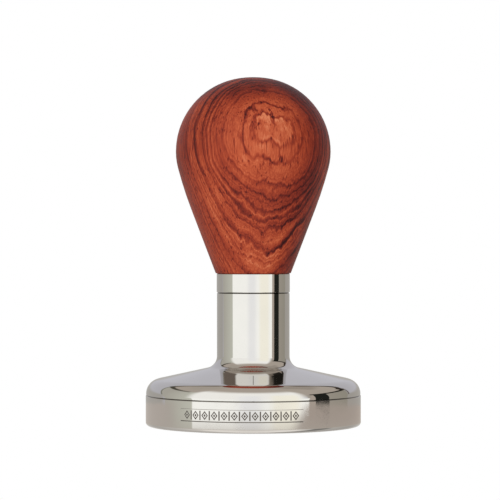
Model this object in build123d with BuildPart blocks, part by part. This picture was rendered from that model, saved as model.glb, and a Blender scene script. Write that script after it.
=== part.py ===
from build123d import *
import os
from math import cos, radians, sin, tan

# Espresso tamper: a turned hardwood knob on a solid steel base.
# Millimetres, +Z up. The origin is the centre of the flat tamping face, which rests on Z = 0.

# base: rim, shoulder, shallow cone and neck, all turned from one bar
rim_radius = 29.0
rim_height = 8.05
rim_corner = 1.0  # rounded edge round the tamping face
groove_width = 0.35  # fine V groove between the rim and the shoulder
groove_depth = 0.28
shoulder_radius = 28.9
shoulder_round = 4.0
cone_edge_height = 11.81  # where the cone would meet the shoulder's cylinder
cone_angle = 12.5
neck_radius = 9.8
neck_fillet = 3.3
neck_top = 35.8
neck_chamfer = 0.22

# ferrule: loose ring held between the neck and the knob
ferrule_radius = 9.87
ferrule_top = 41.0
ferrule_chamfer = 0.2

# knob: straight flank, gentle swell, belly, upper shoulder and a flatter crown, all tangent
belly_radius = 20.89  # largest radius of the knob
belly_height = 73.83
lower_round = 17.4  # radius of the arc just under the belly
lower_angle = 14.7  # steepness where that arc meets the swell
swell_round = 107.0
flank_angle = 20.9
upper_round = 20.0
crown_angle = 9.4  # half angle of the crown's arc
knob_edge_round = 0.35
tenon_radius = 8.0
tenon_bottom = 36.2
pilot_radius = 5.4  # hole that the insert is screwed into
pilot_depth = 14.8
drill_point_angle = 59.0  # half angle of a 118 degree drill

# stud: M8 set screw of 25 mm, its thread drawn at the outer diameter
thread_radius = 4.0
stud_bottom = 22.6
stud_length = 25.0
stud_chamfer = 0.6
socket_across_flats = 4.0
socket_depth = 5.0

# insert: M8 sleeve whose coarse outer thread bites into the wood, drawn as rings
insert_bottom = 36.6
insert_length = 14.0
insert_core_radius = 5.3
insert_crest_radius = 6.0
insert_pitch = 3.0
insert_crest_width = 0.4
insert_root_width = 1.1
insert_chamfer = 0.3
insert_slot_width = 1.6  # driver slot across the open end
insert_slot_depth = 2.0

running_clearance = 0.05  # between the stud and its holes, and between the tenon and the ferrule
hole_chamfer = 0.5

stud_top = stud_bottom + stud_length
stud_hole_radius = thread_radius + running_clearance
insert_top = insert_bottom + insert_length

os.makedirs("parts", exist_ok=True)

# --- base: rim, cone and neck in one piece, with a flat-bottomed hole down the neck for the stud ---
cone_root_height = cone_edge_height + (shoulder_radius - neck_radius) * tan(radians(cone_angle))
rim_point = (rim_radius, 0)
shoulder_point = (shoulder_radius, cone_edge_height)
neck_root_point = (neck_radius, cone_root_height)
neck_edge_point = (neck_radius, neck_top)
hole_edge_point = (stud_hole_radius, neck_top)

with BuildPart() as tamper_base:
    with BuildSketch(Plane.XZ) as base_section:
        with BuildLine():
            Polyline(
                (0, 0),
                rim_point,
                (rim_radius, rim_height),
                (rim_radius - groove_depth, rim_height + groove_width / 2),
                (shoulder_radius, rim_height + groove_width),
                shoulder_point,
                neck_root_point,
                neck_edge_point,
                hole_edge_point,
                (stud_hole_radius, stud_bottom),
                (0, stud_bottom),
                close=True,
            )
        make_face()
        fillet(base_section.vertices().sort_by_distance(rim_point)[0], rim_corner)
        fillet(base_section.vertices().sort_by_distance(shoulder_point)[0], shoulder_round)
        fillet(base_section.vertices().sort_by_distance(neck_root_point)[0], neck_fillet)
        chamfer(base_section.vertices().sort_by_distance(neck_edge_point)[0], neck_chamfer)
        chamfer(base_section.vertices().sort_by_distance(hole_edge_point)[0], hole_chamfer)
    revolve(axis=Axis.Z)
tamper_base.part.label = "tamper_base"
export_step(tamper_base.part, "parts/tamper_base.step")

# --- stud: fixed in the base, and the knob's insert screws down over its upper end ---
with BuildPart() as connecting_stud:
    with BuildSketch(Plane.XY.offset(stud_bottom)):
        Circle(thread_radius)
    extrude(amount=stud_length)
    chamfer(connecting_stud.edges().filter_by(GeomType.CIRCLE), stud_chamfer)
    with BuildSketch(Plane.XY.offset(stud_top)):
        RegularPolygon(radius=socket_across_flats / 2, side_count=6, major_radius=False)
    extrude(amount=-socket_depth, mode=Mode.SUBTRACT)
connecting_stud.part.label = "connecting_stud"
export_step(connecting_stud.part, "parts/connecting_stud.step")

# --- ferrule: plain steel ring with a small chamfer at each edge ---
with BuildPart() as ferrule_ring:
    with BuildSketch(Plane.XY.offset(neck_top)):
        Circle(ferrule_radius)
        Circle(tenon_radius + running_clearance, mode=Mode.SUBTRACT)
    extrude(amount=ferrule_top - neck_top)
    chamfer(ferrule_ring.edges().filter_by(GeomType.CIRCLE), ferrule_chamfer)
ferrule_ring.part.label = "ferrule_ring"
export_step(ferrule_ring.part, "parts/ferrule_ring.step")

# --- knob: turned wood with a tenon below and a pilot hole for the insert ---
crown_round = upper_round + (belly_radius - upper_round) / sin(radians(crown_angle))
belly_point = (belly_radius, belly_height)
pilot_top = tenon_bottom + pilot_depth

with BuildPart() as handle_knob:
    with BuildSketch(Plane.XZ) as knob_section:
        with BuildLine():
            under_belly = JernArc(belly_point, (0, -1), lower_round, -lower_angle)
            swell = JernArc(under_belly @ 1, under_belly % 1, swell_round, lower_angle - flank_angle)
            flank_drop = (swell @ 1).Y - ferrule_top
            flank = PolarLine(swell @ 1, flank_drop / cos(radians(flank_angle)), -90 - flank_angle)
            over_belly = JernArc(belly_point, (0, 1), upper_round, 90 - crown_angle)
            crown = JernArc(over_belly @ 1, over_belly % 1, crown_round, crown_angle)
            Polyline(
                flank @ 1,
                (tenon_radius, ferrule_top),
                (tenon_radius, tenon_bottom),
                (pilot_radius, tenon_bottom),
                (pilot_radius, pilot_top),
                (0, pilot_top + pilot_radius / tan(radians(drill_point_angle))),
                crown @ 1,
            )
        make_face()
        fillet(knob_section.vertices().sort_by_distance(flank @ 1)[0], knob_edge_round)
    revolve(axis=Axis.Z)
handle_knob.part.label = "handle_knob"
export_step(handle_knob.part, "parts/handle_knob.step")

# --- insert: brass sleeve screwed into the wood, with a driver slot across its open end ---
ring_count = int(insert_length // insert_pitch)
first_ring = insert_bottom + (insert_length - (ring_count - 1) * insert_pitch) / 2

with BuildPart() as threaded_insert:
    with BuildSketch(Plane.XY.offset(insert_bottom)):
        Circle(insert_core_radius)
        Circle(stud_hole_radius, mode=Mode.SUBTRACT)
    extrude(amount=insert_length)
    chamfer(threaded_insert.edges().filter_by(GeomType.CIRCLE), insert_chamfer)
    for ring in range(ring_count):
        with BuildSketch(Plane.XZ):
            ring_height = first_ring + ring * insert_pitch
            with BuildLine():
                Polyline(
                    (stud_hole_radius + insert_chamfer, ring_height - insert_root_width / 2),
                    (insert_core_radius, ring_height - insert_root_width / 2),
                    (insert_crest_radius, ring_height - insert_crest_width / 2),
                    (insert_crest_radius, ring_height + insert_crest_width / 2),
                    (insert_core_radius, ring_height + insert_root_width / 2),
                    (stud_hole_radius + insert_chamfer, ring_height + insert_root_width / 2),
                    close=True,
                )
            make_face()
        revolve(axis=Axis.Z)
    with BuildSketch(Plane.XY.offset(insert_bottom)):
        Rectangle(3 * insert_core_radius, insert_slot_width)
    extrude(amount=insert_slot_depth, mode=Mode.SUBTRACT)
threaded_insert.part.label = "threaded_insert"
export_step(threaded_insert.part, "parts/threaded_insert.step")
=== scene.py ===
from math import cos, hypot, pi, radians, sin, tan

import bmesh
import bpy
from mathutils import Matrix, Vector


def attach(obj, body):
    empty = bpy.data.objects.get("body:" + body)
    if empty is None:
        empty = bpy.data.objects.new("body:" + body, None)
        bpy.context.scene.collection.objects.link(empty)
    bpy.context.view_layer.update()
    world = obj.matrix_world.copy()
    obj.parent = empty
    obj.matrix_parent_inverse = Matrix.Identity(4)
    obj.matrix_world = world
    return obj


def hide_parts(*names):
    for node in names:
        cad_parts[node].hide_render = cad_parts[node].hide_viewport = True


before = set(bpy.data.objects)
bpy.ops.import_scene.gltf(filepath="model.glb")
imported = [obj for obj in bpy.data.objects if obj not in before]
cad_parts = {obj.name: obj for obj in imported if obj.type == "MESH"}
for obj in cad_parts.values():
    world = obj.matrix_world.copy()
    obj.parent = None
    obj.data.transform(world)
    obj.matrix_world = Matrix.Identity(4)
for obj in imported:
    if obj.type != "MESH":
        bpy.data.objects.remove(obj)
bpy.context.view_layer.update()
mm = 0.001  # outlines and settings are in millimetres
print("tamper: frame loaded")


# turned shapes: an outline is a list of (radius, height) points, spun about the upright axis

turning = {
    "arcStep": 4.0,  # degrees
    "support": 0.06,
    "longRun": 0.36,
    "steps": 256,
    "sharpAngle": 24.0,
    "merge": 0.0005,
}


def arcPoints(start, heading, radius, turn):  # a tangent arc from start; turn is in degrees, + to the left
    side = 1 if turn > 0 else -1
    centre = (start[0] - side * radius * sin(heading), start[1] + side * radius * cos(heading))
    count = max(3, int(abs(turn) / turning["arcStep"]))
    angles = [heading - side * pi / 2 + radians(turn) * i / count for i in range(count + 1)]
    return [(centre[0] + radius * cos(a), centre[1] + radius * sin(a)) for a in angles]


def roundedOutline(corners):  # corners are (radius, height, rounding); a rounding of 0 stays sharp
    points = [corners[0][:2]]
    for before, corner, after in zip(corners, corners[1:], corners[2:]):
        if corner[2] == 0:
            points.append(corner[:2])
            continue
        toCorner = Vector(corner[:2]) - Vector(before[:2])
        toNext = Vector(after[:2]) - Vector(corner[:2])
        turn = -toCorner.angle_signed(toNext)
        reach = corner[2] * tan(abs(turn) / 2)
        start = Vector(corner[:2]) - toCorner.normalized() * reach
        heading = -Vector((1, 0)).angle_signed(toCorner)
        points += arcPoints(start, heading, corner[2], turn * 180 / pi)
    points.append(corners[-1][:2])
    return points


def withSupports(points):  # a long straight run gets a point near each end, so that it shades flat
    finished = [points[0]]
    for a, b in zip(points, points[1:]):
        run = Vector(b) - Vector(a)
        if run.length > turning["longRun"]:
            step = run.normalized() * turning["support"]
            finished += [tuple(Vector(a) + step), tuple(Vector(b) - step)]
        finished.append(b)
    return finished


def newPiece(name, bm):  # one object from a bmesh, shaded smooth except across real edges
    bmesh.ops.remove_doubles(bm, verts=bm.verts, dist=turning["merge"] * mm)
    bmesh.ops.recalc_face_normals(bm, faces=bm.faces)
    for face in bm.faces:
        face.smooth = True
    for edge in bm.edges:
        edge.smooth = edge.calc_face_angle(0) < radians(turning["sharpAngle"])
    mesh = bpy.data.meshes.new(name)
    bm.to_mesh(mesh)
    bm.free()
    piece = bpy.data.objects.new(name, mesh)
    bpy.context.scene.collection.objects.link(piece)
    return piece


def turned(name, points, closed=False):
    bm = bmesh.new()
    verts = [bm.verts.new((r * mm, 0, z * mm)) for r, z in withSupports(points + points[:1] * closed)]
    edges = [bm.edges.new(pair) for pair in zip(verts, verts[1:])]
    bmesh.ops.spin(bm, geom=verts + edges, cent=(0, 0, 0), axis=(0, 0, 1), angle=2 * pi,
                   steps=turning["steps"], use_merge=True, use_duplicate=False)
    return newPiece(name, bm)


def place(piece, body, node, slotName, material):
    piece.data.materials.append(material)
    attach(piece, body)
    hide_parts(node)


# material building

def addNode(tree, kind, inputs=None, **settings):
    made = tree.nodes.new(kind)
    for key, value in settings.items():
        setattr(made, key, value)
    for key, value in (inputs or {}).items():
        if isinstance(value, bpy.types.NodeSocket):
            tree.links.new(value, made.inputs[key])
        else:
            made.inputs[key].default_value = value
    return made


def calc(tree, operation, *values):
    return addNode(tree, "ShaderNodeMath", dict(enumerate(values)), operation=operation).outputs[0]


def vectorCalc(tree, operation, *values, output=0):
    made = addNode(tree, "ShaderNodeVectorMath", dict(enumerate(values)), operation=operation)
    return made.outputs[output]


def along(tree, vector, direction):  # how far a vector reaches in one direction
    return vectorCalc(tree, "DOT_PRODUCT", vector, direction, output=1)


def remap(tree, value, low, high, toLow=0.0, toHigh=1.0, smooth=True):
    made = addNode(tree, "ShaderNodeMapRange", {"Value": value, "From Min": low, "From Max": high,
                                                "To Min": toLow, "To Max": toHigh})
    made.interpolation_type = "SMOOTHSTEP" if smooth else "LINEAR"
    return made.outputs["Result"]


def noise(tree, vector, scale, detail=2.0, rough=0.5, output="Fac"):
    return addNode(tree, "ShaderNodeTexNoise", {"Vector": vector, "Scale": scale, "Detail": detail,
                                                "Roughness": rough, "Distortion": 0.0}).outputs[output]


def stretchedNoise(tree, vector, stretch, detail=2.0, rough=0.5):
    return noise(tree, vectorCalc(tree, "MULTIPLY", vector, stretch), 1.0, detail, rough)


def noiseAlong(tree, value, scale, detail, rough):
    inputs = {"W": value, "Scale": scale, "Detail": detail, "Roughness": rough}
    return addNode(tree, "ShaderNodeTexNoise", inputs, noise_dimensions="1D").outputs["Fac"]


def ramp(tree, value, stops, interpolation="EASE"):
    made = addNode(tree, "ShaderNodeValToRGB", {"Fac": value})
    bar = made.color_ramp
    bar.interpolation = interpolation
    while len(bar.elements) > 1:
        bar.elements.remove(bar.elements[-1])
    bar.elements[0].position, bar.elements[0].color = stops[0][0], (*stops[0][1], 1)
    for position, colour in stops[1:]:
        bar.elements.new(position).color = (*colour, 1)
    return made.outputs["Color"]


def blendColour(tree, factor, a, b):
    made = addNode(tree, "ShaderNodeMix", data_type="RGBA")
    for socket, value in ((made.inputs[0], factor), (made.inputs[6], a), (made.inputs[7], b)):
        if isinstance(value, bpy.types.NodeSocket):
            tree.links.new(value, socket)
        else:
            socket.default_value = value if isinstance(value, float) else (*value, 1)
    return made.outputs[2]


def newMaterial(name, **shaderInputs):
    material = bpy.data.materials.new(name)
    material.use_nodes = True
    tree = material.node_tree
    tree.nodes.clear()
    inputs = {key.replace("_", " "): value for key, value in shaderInputs.items()}
    shader = addNode(tree, "ShaderNodeBsdfPrincipled", inputs)
    addNode(tree, "ShaderNodeOutputMaterial", {"Surface": shader.outputs[0]})
    spot = addNode(tree, "ShaderNodeTexCoord").outputs["Object"]
    inMm = vectorCalc(tree, "SCALE", spot)
    inMm.node.inputs["Scale"].default_value = 1 / mm
    return material, tree, shader, inMm


def bumpTo(tree, shader, height, distance):
    made = addNode(tree, "ShaderNodeBump", {"Height": height, "Distance": distance, "Strength": 1.0})
    tree.links.new(made.outputs[0], shader.inputs["Normal"])


# effects that several materials share, each a group with its own inputs and outputs

def newGroup(name, inputs, outputs):
    tree = bpy.data.node_groups.new(name, "ShaderNodeTree")
    for label, kind, value in inputs:
        socket = tree.interface.new_socket(label, in_out="INPUT", socket_type=kind)
        if value is not None:
            socket.default_value = value
    for label, kind in outputs:
        tree.interface.new_socket(label, in_out="OUTPUT", socket_type=kind)
    return tree, tree.nodes.new("NodeGroupInput"), tree.nodes.new("NodeGroupOutput")


def useGroup(tree, group, **values):
    made = tree.nodes.new("ShaderNodeGroup")
    made.node_tree = group
    for key, value in values.items():
        if isinstance(value, bpy.types.NodeSocket):
            tree.links.new(value, made.inputs[key])
        else:
            made.inputs[key].default_value = value
    return made.outputs


wiping = {
    "wander": 0.25,
    "bend": (2.0, 2.0, 2.0),
    "strokes": [(0.35, 0.35, 9.0), (8.0, 0.5, 1.2), (0.5, 8.0, 2.6)],
    "lineWidth": 0.012,
    "patchScale": 0.3,
    "patches": (0.42, 0.62),
    "cloudScale": 0.11,
    "cloud": (0.3, 0.7),
}


def wipingMarksGroup():  # hairlines left by a cloth, and the soft cloud of handling
    tree, given, result = newGroup("wipingMarks", [
        ("Spot", "NodeSocketVector", None), ("Density", "NodeSocketFloat", 0.5)],
        [("Hairlines", "NodeSocketFloat"), ("Cloud", "NodeSocketFloat")])
    spot, density = given.outputs[0], given.outputs[1]
    wander = noise(tree, spot, wiping["wander"], output="Color")
    bent = vectorCalc(tree, "ADD", spot, vectorCalc(tree, "MULTIPLY", wander, wiping["bend"]))
    hairlines = None
    for stroke in wiping["strokes"]:
        offCentre = calc(tree, "ABSOLUTE", calc(tree, "SUBTRACT", stretchedNoise(tree, bent, stroke, 1.0), 0.5))
        line = remap(tree, offCentre, 0.0, wiping["lineWidth"], 1.0, 0.0)
        hairlines = line if hairlines is None else calc(tree, "MAXIMUM", hairlines, line)
    patches = remap(tree, noise(tree, spot, wiping["patchScale"], 3.0, 0.6), *wiping["patches"])
    hairlines = calc(tree, "MULTIPLY", calc(tree, "MULTIPLY", hairlines, patches), density)
    cloud = remap(tree, noise(tree, spot, wiping["cloudScale"], 4.0, 0.6), *wiping["cloud"])
    tree.links.new(hairlines, result.inputs[0])
    tree.links.new(cloud, result.inputs[1])
    return tree


lathe = {"slant": 1.13, "glintStretch": (3.0, 3.0, 0.0), "glint": (0.35, 0.65)}


def latheMarksGroup():  # fine rings left by the tool, following the turned shape up and across
    tree, given, result = newGroup("latheMarks", [
        ("Spot", "NodeSocketVector", None), ("Fineness", "NodeSocketFloat", 6.0)],
        [("Rings", "NodeSocketFloat"), ("Glint", "NodeSocketFloat")])
    spot, fineness = given.outputs[0], given.outputs[1]
    flat = vectorCalc(tree, "MULTIPLY", spot, (1.0, 1.0, 0.0))
    across = vectorCalc(tree, "LENGTH", flat, output=1)
    travel = calc(tree, "MULTIPLY", across, lathe["slant"])
    travel = calc(tree, "ADD", travel, along(tree, spot, (0.0, 0.0, 1.0)))
    travel = calc(tree, "MULTIPLY", travel, fineness)
    glint = stretchedNoise(tree, vectorCalc(tree, "NORMALIZE", flat), lathe["glintStretch"])
    tree.links.new(noiseAlong(tree, travel, 1.0, 2.0, 0.6), result.inputs[0])
    tree.links.new(remap(tree, glint, *lathe["glint"]), result.inputs[1])
    return tree


wipingMarks = wipingMarksGroup()
latheMarks = latheMarksGroup()


# wood of the knob: growth layers cut at a slant, so they ring an eye on the front and run down in deep curves

wood = {
    "eye": (4.8, -20.0, 77.3),  # where the layers lie flat to the surface
    "inward": (-0.232, 0.957, -0.174),
    "cupping": 0.006,
    "layers": [  # depth below the eye, tone from dark to light
        (-1.5, 1.0), (0.25, 0.98), (0.48, 0.34), (0.72, 0.76), (1.5, 0.72), (1.85, 0.18), (2.15, 0.68),
        (3.0, 0.70), (3.8, 0.64), (4.6, 0.60), (5.0, 0.42), (5.4, 0.60), (6.2, 0.56), (6.7, 0.34), (7.1, 0.60),
        (7.8, 0.56), (8.2, 0.26), (8.6, 0.56), (9.2, 0.60), (9.6, 0.24), (10.0, 0.58), (10.5, 0.54),
        (10.9, 0.05), (11.35, 0.58), (12.2, 0.78), (13.2, 0.60), (13.8, 0.12), (14.3, 0.74), (16.8, 0.80),
        (17.7, 0.36), (18.4, 0.66), (24.0, 0.55)],
    "tones": [
        (0.0, (0.034, 0.0045, 0.0050)), (0.2, (0.100, 0.0105, 0.0085)), (0.4, (0.212, 0.0245, 0.0130)),
        (0.6, (0.370, 0.0530, 0.0215)), (0.8, (0.540, 0.1080, 0.0430)), (1.0, (0.700, 0.2200, 0.1080))],
    "sway": ((0.06, 0.06, 0.03), 4.5),  # stretch and amount of each bend in the layers
    "ripples": [((0.30, 0.30, 0.10), 2.3), ((0.95, 0.95, 0.13), 1.0)],
    "flank": (6.0, 17.0),  # distance to the side over which the ripples calm down and the lines pale
    "flankCalm": 0.4,
    "flankPresence": 0.72,
    "middleTone": 0.62,
    "presenceStretch": (0.16, 0.16, 0.10),
    "presence": (0.38, 0.6, 0.35, 1.15),
    "eyeRings": (2.6, 3.6, 1.0, 0.0),  # by depth, then by distance to the side
    "eyeFade": (-1.0, 7.0, 0.0, 0.55),
    "lining": (1.0, 9.0, 0.4, 1.0),
    "fineLines": (1.7, 2.0, 0.75),
    "fineAmount": 0.62,
    "fibreStretch": (3.2, 3.2, 0.25),
    "fibreAmount": 0.65,
    "clouds": ((0.12, 0.12, 0.06), 0.45),
    # painted shade: the right and left flanks are darkened where the light falls off, and the crown too, there
    # in part the wood's own tone
    "paintedShadeRight": (0.30, 0.92, 0.25),  # sine of the angle from the front, from and to, and how much darker
    "paintedShadeLeft": (-0.50, -0.97, 0.12),
    "crownShadeAndTone": (84.5, 91.5, 0.25),  # height from and to
    "splitStretch": (0.75, 0.75, 0.11),
    "splits": (0.585, 0.67, 0.05, -0.34),
    "poreStretch": (2.4, 2.4, 0.26),
    "pores": (0.62, 0.70),
    "poreDark": -0.24,
    "roughness": (0.3, 0.7, 0.40, 0.50),
    "eyeEdges": (-0.4, 0.2, 2.0, 3.2),  # depths between which the splits are drawn
    "bump": 0.03,
    "fibreHeight": 0.3,
}


def shifted(tree, vector, stretch, amount):  # a noise spread evenly about zero
    field = stretchedNoise(tree, vector, stretch, 2.0, 0.55)
    return calc(tree, "MULTIPLY", calc(tree, "SUBTRACT", field, 0.5), amount)


def growthLayers(tree, depth):
    shallow, deep = wood["layers"][0][0], wood["layers"][-1][0]
    stops = [((place - shallow) / (deep - shallow), (tone, tone, tone)) for place, tone in wood["layers"]]
    return ramp(tree, remap(tree, depth, shallow, deep, smooth=False), stops, "LINEAR")


def woodMaterial():
    material, tree, shader, spot = newMaterial("knobWood", Specular_IOR_Level=0.13)
    centred = vectorCalc(tree, "SUBTRACT", spot, wood["eye"])
    aside = along(tree, centred, (1.0, 0.0, 0.0))
    depth = along(tree, centred, wood["inward"])
    depth = calc(tree, "MULTIPLY_ADD", calc(tree, "MULTIPLY", aside, aside), wood["cupping"], depth)
    depth = calc(tree, "ADD", depth, shifted(tree, centred, *wood["sway"]))
    calm = remap(tree, calc(tree, "ABSOLUTE", aside), *wood["flank"], 1.0, wood["flankCalm"])
    for stretch, amount in wood["ripples"]:
        depth = calc(tree, "MULTIPLY_ADD", shifted(tree, centred, stretch, amount), calm, depth)

    presence = remap(tree, stretchedNoise(tree, spot, wood["presenceStretch"]), *wood["presence"])
    faint = calc(tree, "MULTIPLY", remap(tree, depth, *wood["eyeRings"]), remap(tree, aside, *wood["eyeFade"]))
    presence = calc(tree, "MULTIPLY", presence, calc(tree, "SUBTRACT", 1.0, faint))
    onFlank = remap(tree, calm, wood["flankCalm"], 1.0, wood["flankPresence"], 1.0, smooth=False)
    presence = calc(tree, "MULTIPLY", presence, onFlank)
    middle = wood["middleTone"]
    tone = calc(tree, "SUBTRACT", growthLayers(tree, depth), middle)
    tone = calc(tree, "MULTIPLY_ADD", tone, presence, middle)

    lining = calc(tree, "MULTIPLY", remap(tree, depth, *wood["lining"]), wood["fineAmount"])
    fine = calc(tree, "SUBTRACT", noiseAlong(tree, depth, *wood["fineLines"]), 0.5)
    tone = calc(tree, "MULTIPLY_ADD", fine, lining, tone)
    fibre = stretchedNoise(tree, spot, wood["fibreStretch"], 3.0, 0.7)
    tone = calc(tree, "MULTIPLY_ADD", calc(tree, "SUBTRACT", fibre, 0.5), wood["fibreAmount"], tone)
    tone = calc(tree, "ADD", tone, shifted(tree, spot, *wood["clouds"]))

    flat = vectorCalc(tree, "NORMALIZE", vectorCalc(tree, "MULTIPLY", spot, (1.0, 1.0, 0.0)))
    side = along(tree, flat, (1.0, 0.0, 0.0))
    up = along(tree, spot, (0.0, 0.0, 1.0))
    # painted shade laid into the tone: the flanks and the crown are darkened
    for value, name in ((side, "paintedShadeRight"), (side, "paintedShadeLeft"), (up, "crownShadeAndTone")):
        start, end, amount = wood[name]
        tone = calc(tree, "SUBTRACT", tone, remap(tree, value, start, end, 0.0, amount))

    begin, full, wane, end = wood["eyeEdges"]
    nearEye = calc(tree, "MULTIPLY", remap(tree, depth, begin, full), remap(tree, depth, wane, end, 1.0, 0.0))
    splits = remap(tree, stretchedNoise(tree, centred, wood["splitStretch"], 2.0, 0.6), *wood["splits"])
    tone = calc(tree, "ADD", tone, calc(tree, "MULTIPLY", nearEye, splits))
    pores = remap(tree, stretchedNoise(tree, spot, wood["poreStretch"], 1.0), *wood["pores"])
    tone = calc(tree, "MULTIPLY_ADD", pores, wood["poreDark"], tone)
    tree.links.new(ramp(tree, tone, wood["tones"], "LINEAR"), shader.inputs["Base Color"])
    tree.links.new(remap(tree, fibre, *wood["roughness"]), shader.inputs["Roughness"])
    height = calc(tree, "MULTIPLY_ADD", pores, -1.0, calc(tree, "MULTIPLY", fibre, wood["fibreHeight"]))
    bumpTo(tree, shader, height, wood["bump"] * mm)
    return material


# knob: tangent arcs up from the seat on the ferrule to the crown

knob = {
    "belly": (20.89, 73.83),
    "lowerRound": 17.4,
    "lowerAngle": 14.7,
    "swellRound": 107.0,
    "flankAngle": 20.9,
    "upperRound": 20.0,
    "crownAngle": 9.4,
    "edgeRound": 0.35,
    "seat": 41.0,
    "tenon": (8.0, 36.2),
    "pilot": (5.4, 51.0),
    "drillPoint": 59.0,  # half the drill's point angle
}


def knobOutline():
    down = radians(-90)
    under = arcPoints(knob["belly"], down, knob["lowerRound"], -knob["lowerAngle"])
    heading = down - radians(knob["lowerAngle"])
    swell = arcPoints(under[-1], heading, knob["swellRound"], knob["lowerAngle"] - knob["flankAngle"])
    end = swell[-1]
    foot = end[0] - (end[1] - knob["seat"]) * tan(radians(knob["flankAngle"]))
    over = arcPoints(knob["belly"], radians(90), knob["upperRound"], 90 - knob["crownAngle"])
    crownRound = knob["upperRound"] + (knob["belly"][0] - knob["upperRound"]) / sin(radians(knob["crownAngle"]))
    crown = arcPoints(over[-1], radians(180 - knob["crownAngle"]), crownRound, knob["crownAngle"])
    tenonRadius, tenonBottom = knob["tenon"]
    pilotRadius, pilotTop = knob["pilot"]
    inside = roundedOutline([
        (0, pilotTop + pilotRadius / tan(radians(knob["drillPoint"])), 0), (pilotRadius, pilotTop, 0),
        (pilotRadius, tenonBottom, 0), (tenonRadius, tenonBottom, 0), (tenonRadius, knob["seat"], 0),
        (foot, knob["seat"], knob["edgeRound"]), (*end, 0)])
    return inside[:-1] + (under + swell[1:])[::-1] + over[1:] + crown[1:-1] + [(0, crown[-1][1])]


woodLook = woodMaterial()
handleKnob = turned("handleKnob", knobOutline())
place(handleKnob, "handle", "handle_knob", "knob_wood", woodLook)
print("tamper: knob turned,", len(handleKnob.data.polygons), "faces")


# polished steel, with an etched border round the front of the rim

polish = {
    "colour": (0.66, 0.64, 0.615),
    "dulled": (0.60, 0.585, 0.565),
    "dulling": 0.35,
    "roughness": (0.018, 0.04),
    "hairline": 0.09,
    "density": 0.55,
    "fineness": 5.0,
    "ringHeight": 0.02,
    "hairlineHeight": -0.2,
    # painted shade: a dark colour laid into the groove and the joint where shade falls
    "paintedSeamShade": (0.10, 0.09, 0.075),
    "shadedSeams": [(8.225, 0.13, 0.55), (35.74, 0.14, 0.78)],  # height, half width and strength
    "seamSoft": 0.12,
    "bump": 0.001,
}
border = {
    "radius": 29.0,
    "middle": -3.6,
    "reach": 17.0,
    "rowReach": 16.0,
    "height": 4.55,
    "half": 1.2,
    "unit": 2.7,
    "lozenge": 0.95,
    "lozengeLine": (0.80, 0.17),
    "seed": (0.28, 0.34),
    "bar": 0.16,
    "rules": [(2.95, 0.11, 1.0), (6.1, 0.05, 0.8)],  # height, half width and strength
    "edge": 0.05,
    "etched": (0.105, 0.092, 0.082),
    "roughness": 0.45,
    "bump": -20.0,
}
tampingFace = {"top": 0.6, "fade": 0.5, "glint": 0.10, "satin": 0.16, "ridges": 12.0}


def bandMask(tree, value, half, soft):  # 1 within half of zero, falling off over soft
    return remap(tree, calc(tree, "ABSOLUTE", value), half - soft / 2, half + soft / 2, 1.0, 0.0)


def etchedBorder(tree, spot):  # lozenges between upright bars, between two fine rules
    x, y, z = addNode(tree, "ShaderNodeSeparateXYZ", {0: spot}).outputs
    angle = calc(tree, "ARCTAN2", x, calc(tree, "MULTIPLY", y, -1.0))
    around = calc(tree, "SUBTRACT", calc(tree, "MULTIPLY", angle, border["radius"]), border["middle"])
    unit, soft = border["unit"], border["edge"]
    cell = calc(tree, "SUBTRACT", calc(tree, "FRACT", calc(tree, "DIVIDE", around, unit)), 0.5)
    aside = calc(tree, "MULTIPLY", calc(tree, "ABSOLUTE", cell), unit)
    above = calc(tree, "SUBTRACT", z, border["height"])
    lozenge = calc(tree, "ADD", calc(tree, "DIVIDE", aside, border["lozenge"]),
                   calc(tree, "DIVIDE", calc(tree, "ABSOLUTE", above), border["half"]))
    size, half = border["lozengeLine"]
    outline = bandMask(tree, calc(tree, "SUBTRACT", lozenge, size), half, soft)
    seed = remap(tree, lozenge, *border["seed"], 1.0, 0.0)
    bar = bandMask(tree, calc(tree, "SUBTRACT", aside, unit / 2), border["bar"], soft)
    row = calc(tree, "MAXIMUM", calc(tree, "MAXIMUM", outline, seed), bar)
    row = calc(tree, "MULTIPLY", row, bandMask(tree, above, border["half"], soft))
    row = calc(tree, "MULTIPLY", row, bandMask(tree, around, border["rowReach"], soft))
    lines = []
    for height, half, strength in border["rules"]:
        line = bandMask(tree, calc(tree, "SUBTRACT", z, height), half, soft)
        lines.append(calc(tree, "MULTIPLY", line, strength))
    rules = calc(tree, "MAXIMUM", *lines)
    rules = calc(tree, "MULTIPLY", rules, bandMask(tree, around, border["reach"], soft))
    return calc(tree, "MAXIMUM", row, rules)


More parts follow.
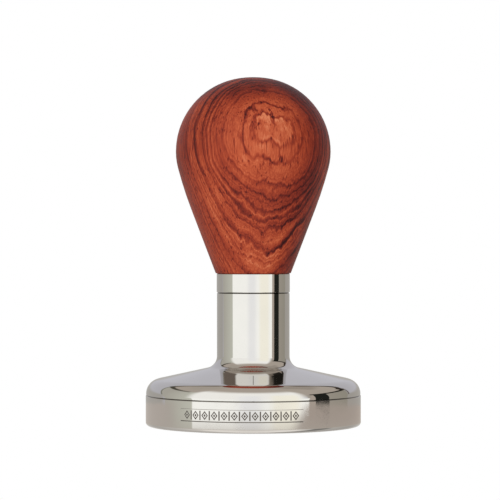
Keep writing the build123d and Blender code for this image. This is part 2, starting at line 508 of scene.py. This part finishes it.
def polishedMaterial(name, etched=False):
    material, tree, shader, spot = newMaterial(name, Metallic=1.0)
    marks = useGroup(tree, wipingMarks, Spot=spot, Density=polish["density"])
    rings = useGroup(tree, latheMarks, Spot=spot, Fineness=polish["fineness"])
    dulled = calc(tree, "MULTIPLY", marks["Cloud"], polish["dulling"])
    colour = blendColour(tree, dulled, polish["colour"], polish["dulled"])
    rough = remap(tree, marks["Cloud"], 0.0, 1.0, *polish["roughness"])
    rough = calc(tree, "MULTIPLY_ADD", marks["Hairlines"], polish["hairline"], rough)
    height = calc(tree, "MULTIPLY", marks["Hairlines"], polish["hairlineHeight"])
    height = calc(tree, "MULTIPLY_ADD", rings["Rings"], polish["ringHeight"], height)
    z = addNode(tree, "ShaderNodeSeparateXYZ", {0: spot}).outputs["Z"]
    for seamHeight, half, strength in polish["shadedSeams"]:  # painted shade darkens the groove and the joint
        seam = bandMask(tree, calc(tree, "SUBTRACT", z, seamHeight), half, polish["seamSoft"])
        colour = blendColour(tree, calc(tree, "MULTIPLY", seam, strength), colour, polish["paintedSeamShade"])
    if etched:
        mark = etchedBorder(tree, spot)
        colour = blendColour(tree, mark, colour, border["etched"])
        rough = calc(tree, "MAXIMUM", rough, calc(tree, "MULTIPLY", mark, border["roughness"]))
        top = tampingFace["top"]
        face = remap(tree, z, top - tampingFace["fade"], top, 1.0, 0.0)  # the tamping face stays satin
        satin = calc(tree, "MULTIPLY_ADD", rings["Glint"], tampingFace["glint"], tampingFace["satin"])
        rough = calc(tree, "MAXIMUM", rough, calc(tree, "MULTIPLY", face, satin))
        ridges = calc(tree, "MULTIPLY", face, rings["Rings"])
        height = calc(tree, "MULTIPLY_ADD", ridges, tampingFace["ridges"], height)
        height = calc(tree, "MULTIPLY_ADD", mark, border["bump"], height)
    tree.links.new(colour, shader.inputs["Base Color"])
    tree.links.new(rough, shader.inputs["Roughness"])
    bumpTo(tree, shader, height, polish["bump"] * mm)
    return material


polished = polishedMaterial("polishedSteel")
polishedBase = polishedMaterial("polishedBaseSteel", etched=True)

base = {
    "rim": 29.0,
    "rimHeight": 8.05,
    "rimCorner": 1.0,
    "groove": (0.28, 0.35),  # depth and width
    "shoulder": 28.9,
    "shoulderRound": 4.0,
    "coneEdge": 11.81,
    "coneAngle": 12.5,
    "neck": 9.8,
    "neckFillet": 3.3,
    "neckTop": 35.8,
    "neckChamfer": 0.22,
    "hole": 4.05,
    "holeChamfer": 0.5,
    "holeFloor": 22.6,
}


def baseOutline():
    depth, width = base["groove"]
    coneRoot = base["coneEdge"] + (base["shoulder"] - base["neck"]) * tan(radians(base["coneAngle"]))
    return roundedOutline([
        (0, 0, 0), (base["rim"], 0, base["rimCorner"]), (base["rim"], base["rimHeight"], 0),
        (base["rim"] - depth, base["rimHeight"] + width / 2, 0),
        (base["shoulder"], base["rimHeight"] + width, 0),
        (base["shoulder"], base["coneEdge"], base["shoulderRound"]),
        (base["neck"], coneRoot, base["neckFillet"]),
        (base["neck"], base["neckTop"] - base["neckChamfer"], 0),
        (base["neck"] - base["neckChamfer"], base["neckTop"], 0),
        (base["hole"] + base["holeChamfer"], base["neckTop"], 0),
        (base["hole"], base["neckTop"] - base["holeChamfer"], 0), (base["hole"], base["holeFloor"], 0),
        (0, base["holeFloor"], 0)])


tamperBase = turned("tamperBase", baseOutline())
place(tamperBase, "base", "tamper_base", "polished_steel", polishedBase)

ferrule = {"radius": 9.87, "bore": 8.05, "low": 35.8, "high": 41.0, "chamfer": 0.2, "rim": 0.2}


def ferruleOutline():
    low, high, cut, rim = ferrule["low"], ferrule["high"], ferrule["chamfer"], ferrule["rim"]
    outer, bore = ferrule["radius"], ferrule["bore"]
    return [(outer - cut, low), (outer, low + cut), (outer, high - rim), (outer - rim, high),
            (bore + rim, high), (bore, high - rim), (bore, low + rim), (bore + rim, low)]


ferruleRing = turned("ferruleRing", ferruleOutline(), closed=True)
place(ferruleRing, "collar", "ferrule_ring", "polished_steel", polished)
print("tamper: steel turned")


# screw threads: one pitch of the profile is repeated up the axis and spun with a rise, then trimmed to length

thread = {
    "pitch": 1.25,
    "crest": 4.0,
    "root": 3.233,
    "crestFlat": 0.156,
    "rootFlat": 0.208,
    "halfAngle": 30.0,
    "steps": 72,
    "merge": 0.002,
    "cutSnap": 0.0001,
    "rimSlack": 0.01,
}


def threadProfile(first, firstFlat, second, secondFlat, pitch, start=0.0):  # (radius, height) over one pitch
    flank = (pitch - firstFlat - secondFlat) / 2
    turnIn = start + firstFlat + flank
    return [(first, start), (first, start + firstFlat), (second, turnIn), (second, turnIn + secondFlat)]


def spiral(bm, profile, pitch, low, high, steps):  # the profile's zero lies half a pitch off low
    count = int((high - low) / pitch) + 3
    points = [(r, low + (turn - 1.5) * pitch + z) for turn in range(count) for r, z in profile]
    verts = [bm.verts.new((r * mm, 0, z * mm)) for r, z in points]
    edges = [bm.edges.new(pair) for pair in zip(verts, verts[1:])]
    bmesh.ops.spin(bm, geom=verts + edges, cent=(0, 0, 0), axis=(0, 0, 1), angle=2 * pi, steps=steps,
                   dvec=(0, 0, pitch * mm / steps), use_duplicate=False)
    bmesh.ops.remove_doubles(bm, verts=bm.verts, dist=thread["merge"] * mm)


def trim(bm, low, high, extra=()):  # cuts the ends off, and scores the extra heights
    for height, lower, upper in ((low, True, False), (high, False, True), *((z, False, False) for z in extra)):
        bmesh.ops.bisect_plane(bm, geom=bm.verts[:] + bm.edges[:] + bm.faces[:], dist=thread["cutSnap"] * mm,
                               plane_co=(0, 0, height * mm), plane_no=(0, 0, 1),
                               clear_inner=lower, clear_outer=upper)


def limitRadius(bm, limit):
    for vert in bm.verts:
        radius = hypot(vert.co.x, vert.co.y) / mm
        most = limit(vert.co.z / mm)
        if radius > most:
            vert.co.x *= most / radius
            vert.co.y *= most / radius


def rimEdges(bm, height):  # the open edges at one height
    slack = thread["rimSlack"]
    return [e for e in bm.edges if e.is_boundary and all(abs(v.co.z / mm - height) < slack for v in e.verts)]


stud = {"low": 22.6, "high": 47.6, "chamfer": 0.6, "socket": 4.0, "socketDepth": 5.0}


def buildStud():
    bm = bmesh.new()
    low, high, cut = stud["low"], stud["high"], stud["chamfer"]
    crest, crestFlat, pitch = thread["crest"], thread["crestFlat"], thread["pitch"]
    profile = threadProfile(crest, crestFlat, thread["root"], thread["rootFlat"], pitch, -crestFlat / 2)
    spiral(bm, profile, pitch, low, high, thread["steps"])
    trim(bm, low, high, (low + cut / 2, low + cut, high - cut, high - cut / 2))
    limitRadius(bm, lambda z: crest - cut + min(z - low, high - z, cut))
    bmesh.ops.edgeloop_fill(bm, edges=rimEdges(bm, low))
    topRim = rimEdges(bm, high)
    hexagon = bmesh.ops.create_circle(bm, segments=6, radius=stud["socket"] / 2 / cos(pi / 6) * mm)["verts"]
    bmesh.ops.translate(bm, verts=hexagon, vec=(0, 0, high * mm))
    hexEdges = list({e for v in hexagon for e in v.link_edges})
    bmesh.ops.bridge_loops(bm, edges=topRim + hexEdges)
    sunk = bmesh.ops.extrude_edge_only(bm, edges=hexEdges)["geom"]
    sunkVerts = [g for g in sunk if isinstance(g, bmesh.types.BMVert)]
    bmesh.ops.translate(bm, verts=sunkVerts, vec=(0, 0, -stud["socketDepth"] * mm))
    bmesh.ops.edgeloop_fill(bm, edges=[g for g in sunk if isinstance(g, bmesh.types.BMEdge)
                                       and all(v in sunkVerts for v in g.verts)])
    return newPiece("connectingStud", bm)


insert = {
    "low": 36.6,
    "high": 50.6,
    "core": 5.3,
    "crest": 6.0,
    "pitch": 3.0,
    "crestFlat": 0.4,
    "rootFlat": 1.1,
    "chamfer": 0.3,
    "scores": (0.3, 0.7),  # from each end: the top of the chamfer, and a step up the run-out
    "runOut": 1.0,
    "boreCrest": 3.32,
    "boreRoot": 4.06,
    "play": 0.058,
    "slot": (1.6, 2.0),  # width and depth
    "cutterLength": 16.0,
}


def outerThread():  # coarse, for wood, run out to nothing at both ends
    bm = bmesh.new()
    low, high, core, pitch = insert["low"], insert["high"], insert["core"], insert["pitch"]
    near, far = insert["scores"]
    profile = threadProfile(insert["crest"], insert["crestFlat"], core, insert["rootFlat"], pitch)
    spiral(bm, profile, pitch, low, high, 2 * thread["steps"])
    trim(bm, low, high, (low + far, low + near, high - near, high - far))
    limitRadius(bm, lambda z: core - insert["chamfer"] + min(z - low, high - z, insert["runOut"]))
    return bm


def boreThread():  # in step with the stud's thread, a little play clear of it
    bm = bmesh.new()
    low, high, pitch = insert["low"], insert["high"], thread["pitch"]
    root, crest, slope = insert["boreRoot"], insert["boreCrest"], tan(radians(thread["halfAngle"]))
    crestFlat = pitch - thread["crestFlat"] - 2 * (thread["crest"] - crest) * slope - 2 * insert["play"]
    rootFlat = pitch - 2 * (root - crest) * slope - crestFlat
    start = stud["low"] + round((low - stud["low"]) / pitch) * pitch  # a whole number of turns up the stud
    profile = threadProfile(root, rootFlat, crest, crestFlat, pitch, -rootFlat / 2)
    spiral(bm, profile, pitch, start, high, thread["steps"])
    trim(bm, low, high)
    return bm


def buildInsert():
    outer, inner = outerThread(), boreThread()
    borrowed = bpy.data.meshes.new("bore")
    inner.to_mesh(borrowed)
    inner.free()
    outer.from_mesh(borrowed)
    bpy.data.meshes.remove(borrowed)
    for height in (insert["low"], insert["high"]):  # flat ends, filled round the bore
        bmesh.ops.triangle_fill(outer, edges=rimEdges(outer, height), use_beauty=True, normal=(0, 0, 1))
    return newPiece("threadedInsert", outer)


def cutSlot(piece):  # the driver slot across the insert's open end
    width, depth = insert["slot"]
    block = bmesh.new()
    bmesh.ops.create_cube(block, size=1)
    bmesh.ops.scale(block, verts=block.verts, vec=(insert["cutterLength"] * mm, width * mm, 2 * depth * mm))
    bmesh.ops.translate(block, verts=block.verts, vec=(0, 0, insert["low"] * mm))
    cutter = newPiece("slotCutter", block)
    change = piece.modifiers.new("slot", "BOOLEAN")
    change.operation, change.solver, change.object = "DIFFERENCE", "MANIFOLD", cutter
    shaped = bpy.data.meshes.new_from_object(piece.evaluated_get(bpy.context.evaluated_depsgraph_get()))
    finished = bmesh.new()
    finished.from_mesh(shaped)
    name = piece.name
    bpy.data.objects.remove(piece)
    bpy.data.objects.remove(cutter)
    bpy.data.meshes.remove(shaped)
    return newPiece(name, finished)


connectingStud = buildStud()
threadedInsert = cutSlot(buildInsert())

studFinish = {"colour": (0.50, 0.49, 0.475), "tint": (0.36, 0.34, 0.31), "roughness": 0.26, "fineness": 7.0}
insertFinish = {"colour": (0.72, 0.50, 0.22), "tint": (0.52, 0.33, 0.14), "roughness": 0.22, "fineness": 6.0}
machined = {"density": 0.9, "stainScale": 0.5, "stain": (0.42, 0.68), "stainAmount": 0.6, "spread": 1.35,
            "hairline": 0.15, "hairlineHeight": -0.3, "bump": 0.004}


def latheMaterial(name, finish):  # plain machined metal, left as it came off the lathe
    material, tree, shader, spot = newMaterial(name, Metallic=1.0)
    marks = useGroup(tree, wipingMarks, Spot=spot, Density=machined["density"])
    rings = useGroup(tree, latheMarks, Spot=spot, Fineness=finish["fineness"])
    stain = remap(tree, noise(tree, spot, machined["stainScale"], 4.0, 0.65), *machined["stain"])
    stain = calc(tree, "MULTIPLY", stain, machined["stainAmount"])
    rough = finish["roughness"]
    rough = remap(tree, rings["Glint"], 0.0, 1.0, rough, rough * machined["spread"])
    rough = calc(tree, "MULTIPLY_ADD", marks["Hairlines"], machined["hairline"], rough)
    height = calc(tree, "MULTIPLY_ADD", marks["Hairlines"], machined["hairlineHeight"], rings["Rings"])
    tree.links.new(blendColour(tree, stain, finish["colour"], finish["tint"]), shader.inputs["Base Color"])
    tree.links.new(rough, shader.inputs["Roughness"])
    bumpTo(tree, shader, height, machined["bump"] * mm)
    return material


place(connectingStud, "base", "connecting_stud", "plain_steel", latheMaterial("studSteel", studFinish))
place(threadedInsert, "handle", "threaded_insert", "insert_brass", latheMaterial("insertBrass", insertFinish))
print("tamper: stud and insert threaded")


# studio: a bright front between grey walls, a black flag on the right, a backdrop and a ceiling

studio = {
    "backdrop": (0.605, 0.605, 0.655),
    "floor": (0.60, 0.56, 0.51),
    "nearFloor": (0.90, 0.87, 0.83),
    "floorLight": [  # azimuth, share of the near floor
        (-180, 0.80), (-135, 0.62), (-100, 0.74), (-72, 0.90), (-52, 1.22), (0, 1.12), (48, 1.25),
        (62, 0.85), (71, 0.30), (86, 0.28), (97, 0.66), (130, 0.55), (180, 0.80)],
    "mostShare": 1.5,  # the share that the top of the ramp stands for
    "nearFade": (-13, -6),
    "horizon": (-5.2, -4.25),
    "panels": [  # azimuth from the front, + to the right; a lean moves an edge for each degree of elevation
        {"name": "left rear", "azimuth": (-180, -112), "elevation": (-20, 8),
         "colour": (0.50, 0.485, 0.46), "soft": 8},
        {"name": "right rear", "azimuth": (119, 180), "elevation": (-20, 8),
         "colour": (0.48, 0.46, 0.43), "soft": 8},
        {"name": "ceiling", "azimuth": (-100, 98), "lean": (-1.0, 1.02), "elevation": (15, 120),
         "colour": (0.55, 0.49, 0.43)},
        {"name": "ceiling rear", "azimuth": (-200, 200), "elevation": (53, 120),
         "colour": (0.55, 0.49, 0.43)},
        {"name": "rear rail left", "azimuth": (-200, -143), "elevation": (49, 57),
         "colour": (0.24, 0.20, 0.18), "soft": 3},
        {"name": "rear rail right", "azimuth": (146, 200), "elevation": (49, 57),
         "colour": (0.24, 0.20, 0.18), "soft": 3},
        {"name": "ceiling shade left", "azimuth": (-150, -96), "elevation": (52, 74),
         "colour": (0.52, 0.47, 0.41), "soft": 8},
        {"name": "ceiling shade right", "azimuth": (96, 150), "elevation": (52, 74),
         "colour": (0.44, 0.39, 0.34), "soft": 8},
        {"name": "left brace", "azimuth": (-103, -93), "lean": (-1.0, -1.0), "elevation": (36, 60),
         "colour": (0.18, 0.15, 0.12), "soft": 4},
        {"name": "left wall", "azimuth": (-111, -60), "lean": (-0.7, -0.2), "elevation": (-20, 38.5),
         "colour": (0.54, 0.525, 0.47), "towards": (0.76, 0.78, 0.69)},
        {"name": "left edge", "azimuth": (-112, -109), "lean": (-0.7, -0.7), "elevation": (8, 36),
         "colour": (0.26, 0.26, 0.22), "soft": 1.5},
        {"name": "left rail", "azimuth": (-114, -84), "lean": (-0.7, 0), "elevation": (35.6, 40.4),
         "colour": (0.10, 0.09, 0.07), "towards": (0.32, 0.30, 0.26), "soft": 1.8},
        {"name": "right wall", "azimuth": (60, 121), "lean": (0, 0.2), "elevation": (-20, 25),
         "colour": (0.50, 0.455, 0.40), "towards": (0.39, 0.37, 0.315)},
        {"name": "front high", "azimuth": (-73, 57), "elevation": (3, 53), "top": 22, "bottom": 3,
         "colour": (1.26, 1.27, 1.24), "soft": 14},
        {"name": "front", "azimuth": (-68.8, 62), "lean": (-0.2, 0.16), "elevation": (-20, 4), "top": 4,
         "colour": (1.33, 1.35, 1.32), "soft": 1.8},
        {"name": "front middle", "azimuth": (-16, 8), "elevation": (-20, 30),
         "colour": (1.18, 1.20, 1.22), "soft": 16},
        {"name": "front right", "azimuth": (20, 50), "elevation": (-20, 30),
         "colour": (1.30, 1.28, 1.14), "soft": 12},
        {"name": "seam", "azimuth": (-1.2, 1.2), "elevation": (18, 36),
         "colour": (0.30, 0.28, 0.26), "soft": 1.5,
         "bounces": 3},
        {"name": "left shade", "azimuth": (-125, -64), "elevation": (14, 44),
         "colour": (0.24, 0.20, 0.17), "soft": 10,
         "bounces": 3},
        {"name": "gap", "azimuth": (62.5, 70), "lean": (0.16, 0), "elevation": (-20, 34),
         "colour": (0.56, 0.49, 0.43),
         "soft": 2, "top": 10},
        {"name": "flag", "azimuth": (69.5, 88.5), "elevation": (-4.03, 26), "bottom": 0.05,
         "colour": (0.020, 0.021, 0.018)},
        {"name": "left floor", "azimuth": (-190, -95), "elevation": (-20, -4.0), "top": 0.1,
         "colour": (0.59, 0.54, 0.50),
         "soft": 30},
        {"name": "right floor", "azimuth": (160.3, 200), "lean": (25, 0), "elevation": (-20, -4.06),
         "top": 0.06, "colour": (0.53, 0.46, 0.41), "soft": 15},
        {"name": "right shade", "azimuth": (58, 80), "elevation": (14, 44),
         "colour": (0.30, 0.26, 0.22), "soft": 8,
         "bounces": 3},
        {"name": "right dark", "azimuth": (76, 118), "elevation": (14, 44),
         "colour": (0.03, 0.026, 0.022), "soft": 8,
         "bounces": 3},
        {"name": "right rail", "azimuth": (66, 128.5), "elevation": (22.8, 27.6),
         "colour": (0.02, 0.018, 0.015), "soft": 1.5},
        {"name": "right corner", "azimuth": (121, 131), "elevation": (25, 35),
         "colour": (0.02, 0.018, 0.015), "soft": 2},
        {"name": "right brace", "azimuth": (91, 100), "lean": (1.02, 1.02), "elevation": (30, 58),
         "colour": (0.06, 0.045, 0.035), "soft": 3},
        {"name": "right edge", "azimuth": (122, 125), "lean": (0.2, 0.2), "elevation": (6, 30),
         "colour": (0.18, 0.15, 0.13), "soft": 2},
    ],
}


def studioWorld():
    world = bpy.data.worlds.new("studio")
    bpy.context.scene.world = world
    world.use_nodes = True
    tree = world.node_tree
    tree.nodes.clear()
    lightPath = addNode(tree, "ShaderNodeLightPath").outputs
    direction = addNode(tree, "ShaderNodeTexCoord").outputs["Generated"]
    x, y, z = addNode(tree, "ShaderNodeSeparateXYZ", {0: direction}).outputs
    azimuth = calc(tree, "DEGREES", calc(tree, "ARCTAN2", x, calc(tree, "MULTIPLY", y, -1.0)))
    elevation = calc(tree, "DEGREES", calc(tree, "ARCSINE", z))
    colour = studio["backdrop"]
    for panel in studio["panels"]:
        soft = panel.get("soft", 1.0)
        bottom, top = panel.get("bottom", soft), panel.get("top", soft)
        left, right = panel["azimuth"]
        low, high = panel["elevation"]
        leanLeft, leanRight = panel.get("lean", (0.0, 0.0))
        fromLeft = calc(tree, "MULTIPLY_ADD", elevation, -leanLeft, azimuth)
        fromRight = calc(tree, "MULTIPLY_ADD", elevation, -leanRight, azimuth)
        edges = [remap(tree, fromLeft, left - soft / 2, left + soft / 2),
                 remap(tree, fromRight, right - soft / 2, right + soft / 2, 1.0, 0.0),
                 remap(tree, elevation, low - bottom / 2, low + bottom / 2),
                 remap(tree, elevation, high - top / 2, high + top / 2, 1.0, 0.0)]
        across = calc(tree, "MULTIPLY", edges[0], edges[1])
        mask = calc(tree, "MULTIPLY", across, calc(tree, "MULTIPLY", edges[2], edges[3]))
        if "bounces" in panel:  # only seen in a reflection of a reflection
            deep = calc(tree, "GREATER_THAN", lightPath["Ray Depth"], panel["bounces"] - 0.5)
            mask = calc(tree, "MULTIPLY", mask, deep)
        tint = panel["colour"]
        if "towards" in panel:
            tint = blendColour(tree, remap(tree, azimuth, left, right, smooth=False), tint, panel["towards"])
        colour = blendColour(tree, mask, colour, tint)
    most = studio["mostShare"]
    shares = [((angle + 180) / 360, (share / most,) * 3) for angle, share in studio["floorLight"]]
    share = ramp(tree, remap(tree, azimuth, -180, 180, smooth=False), shares)
    nearFloor = vectorCalc(tree, "MULTIPLY", share, [most * value for value in studio["nearFloor"]])
    floorColour = blendColour(tree, remap(tree, elevation, *studio["nearFade"]), nearFloor, studio["floor"])
    colour = blendColour(tree, remap(tree, elevation, *studio["horizon"], 1.0, 0.0), colour, floorColour)
    lit = addNode(tree, "ShaderNodeBackground", {"Color": colour})
    white = addNode(tree, "ShaderNodeBackground", {"Color": (1, 1, 1, 1)})
    shaders = {0: lightPath["Is Camera Ray"], 1: lit.outputs[0], 2: white.outputs[0]}
    mix = addNode(tree, "ShaderNodeMixShader", shaders)
    addNode(tree, "ShaderNodeOutputWorld", {"Surface": mix.outputs[0]})


studioWorld()

ground = {"radius": 2500.0, "below": 0.02, "sides": 96}

floorMesh = bmesh.new()
bmesh.ops.create_circle(floorMesh, cap_ends=True, segments=ground["sides"], radius=ground["radius"] * mm)
bmesh.ops.translate(floorMesh, verts=floorMesh.verts, vec=(0, 0, -ground["below"] * mm))
studioFloor = newPiece("studioFloor", floorMesh)
floorMaterial = bpy.data.materials.new("paleFloor")
floorMaterial.use_nodes = True
floorTree = floorMaterial.node_tree
floorTree.nodes.clear()
floorGlow = addNode(floorTree, "ShaderNodeEmission", {"Color": (1, 1, 1, 1)})
seeThrough = addNode(floorTree, "ShaderNodeBsdfTransparent")
underside = addNode(floorTree, "ShaderNodeNewGeometry").outputs["Backfacing"]
floorShaders = {0: underside, 1: floorGlow.outputs[0], 2: seeThrough.outputs[0]}
floorMix = addNode(floorTree, "ShaderNodeMixShader", floorShaders)
addNode(floorTree, "ShaderNodeOutputMaterial", {"Surface": floorMix.outputs[0]})
studioFloor.data.materials.append(floorMaterial)
studioFloor.visible_diffuse = False
studioFloor.visible_glossy = False
studioFloor.visible_shadow = False

viewpoint = {"distance": 590.0, "height": 47.29, "side": -0.88, "lens": 157.3, "sensor": 36.0, "near": 10.0}
cameraData = bpy.data.cameras.new("camera")
cameraData.lens = viewpoint["lens"]
cameraData.sensor_width = viewpoint["sensor"]
cameraData.clip_start = viewpoint["near"] * mm
camera = bpy.data.objects.new("camera", cameraData)
bpy.context.scene.collection.objects.link(camera)
camera.location = (viewpoint["side"] * mm, -viewpoint["distance"] * mm, viewpoint["height"] * mm)
camera.rotation_euler = (pi / 2, 0, 0)
bpy.context.scene.camera = camera
bpy.context.scene.view_settings.view_transform = "Standard"
print("tamper: studio set")
